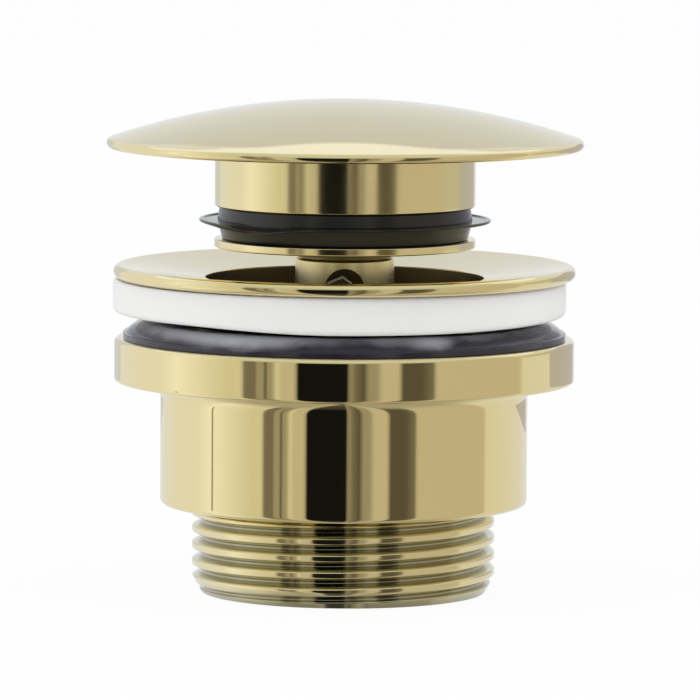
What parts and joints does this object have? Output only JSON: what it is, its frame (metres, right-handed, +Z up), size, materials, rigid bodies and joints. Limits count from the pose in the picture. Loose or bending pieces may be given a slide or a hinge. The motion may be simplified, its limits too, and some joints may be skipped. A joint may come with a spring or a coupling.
{
  "type": "pop up basin waste",
  "caption": "Gold click clack basin waste: a sprung domed plug lifts and drops in a dished flange, and a threaded body with gaskets clamps it to the basin.",
  "frame": {"origin": "centre of the tail's lower end face, on the axis of the waste", "axes": "+Z up along the axis, from the tail to the domed cap; the picture's camera is on the -Y side"},
  "size_m": [0.0658, 0.0658, 0.0681],
  "materials": {
    "polished_gold": "polished pale gold plating on brass",
    "plain_brass": "machined brass",
    "black_rubber": "smooth black rubber",
    "white_gasket": "soft white gasket",
    "cream_acetal": "moulded acetal",
    "steel": "plain stainless steel"
  },
  "bodies": {
    "base": {"flange": "polished_gold", "mechanism_bridge": "plain_brass", "white_gasket": "white_gasket", "stem": "plain_brass", "stem_lock_washer": "steel", "stem_locknut": "steel", "spring_seat_washer": "steel", "rotor_e_clip": "steel", "return_spring": "steel"},
    "plug": {"dome_cap": "polished_gold", "plug_neck": "polished_gold", "plug_seal": "black_rubber", "seal_disc": "polished_gold", "mechanism_barrel": "polished_gold", "upper_cam": "cream_acetal", "lower_cam": "cream_acetal", "barrel_circlip": "steel", "stem_wiper": "black_rubber"},
    "rotor": {"index_rotor": "cream_acetal"},
    "clamp": {"black_gasket": "black_rubber"},
    "tail": {"tail_body": "polished_gold"}
  },
  "joints": [
    {"name": "plug_slide", "type": "slide", "parent": "base", "child": "plug", "axis": [0, 0, 1], "range_m": [-0.0075, 0], "stiffness_N_per_m": 660, "springref_m": 0.0078, "deforming": ["return_spring"]},
    {"name": "rotor_turn", "type": "hinge", "parent": "base", "child": "rotor", "pos_m": [0, 0, 0.0254], "axis": [0, 0, 1], "range_deg": [0, 52]},
    {"name": "clamp_slide", "type": "slide", "parent": "base", "child": "clamp", "axis": [0, 0, 1], "range_m": [-0.01386, 0]},
    {"name": "tail_turn", "type": "hinge", "parent": "clamp", "child": "tail", "pos_m": [0, 0, 0.0176], "axis": [0, 0, 1], "range_deg": [-2160, 0]}
  ],
  "couplings": [
    {"joint": "rotor_turn", "follows": "plug_slide", "rad_per_m": -120.37},
    {"joint": "clamp_slide", "follows": "tail_turn", "m_per_rad": 0.00036749}
  ]
}
